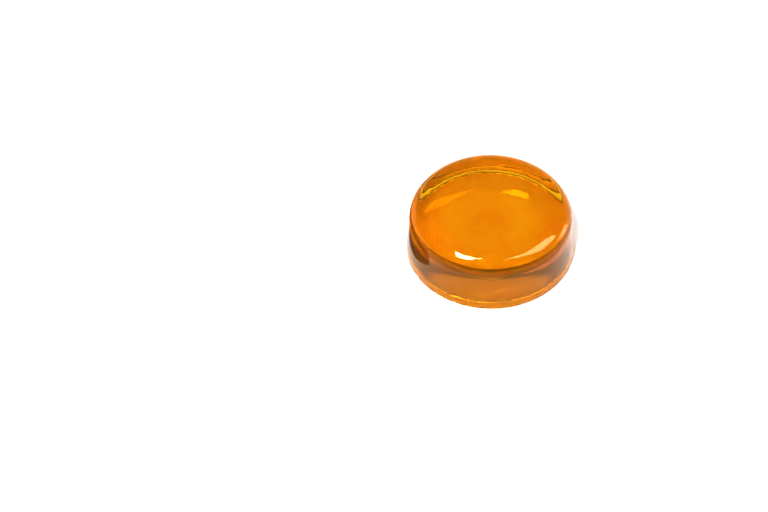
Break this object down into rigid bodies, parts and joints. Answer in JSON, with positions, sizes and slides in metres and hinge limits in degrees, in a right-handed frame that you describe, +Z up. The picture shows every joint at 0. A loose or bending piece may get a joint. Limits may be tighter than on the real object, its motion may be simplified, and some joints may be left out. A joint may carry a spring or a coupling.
{
  "type": "rosin cake",
  "caption": "Round cake of clear amber rosin for string bows: nearly flat top, rounded shoulder, tapered side, hollow poured underside with a thin resting ring.",
  "frame": {"origin": "centre of the resting ring, on the surface that the cake stands on", "axes": "+Z up along the cake's axis, from the poured underside to the crowned top; +X and +Y are free, because the cake is round"},
  "size_m": [0.04, 0.04, 0.013],
  "materials": {
    "amber_rosin": "clear amber rosin, glossy as cast"
  },
  "bodies": {
    "root": {"rosin_cake": "amber_rosin"}
  },
  "joints": []
}
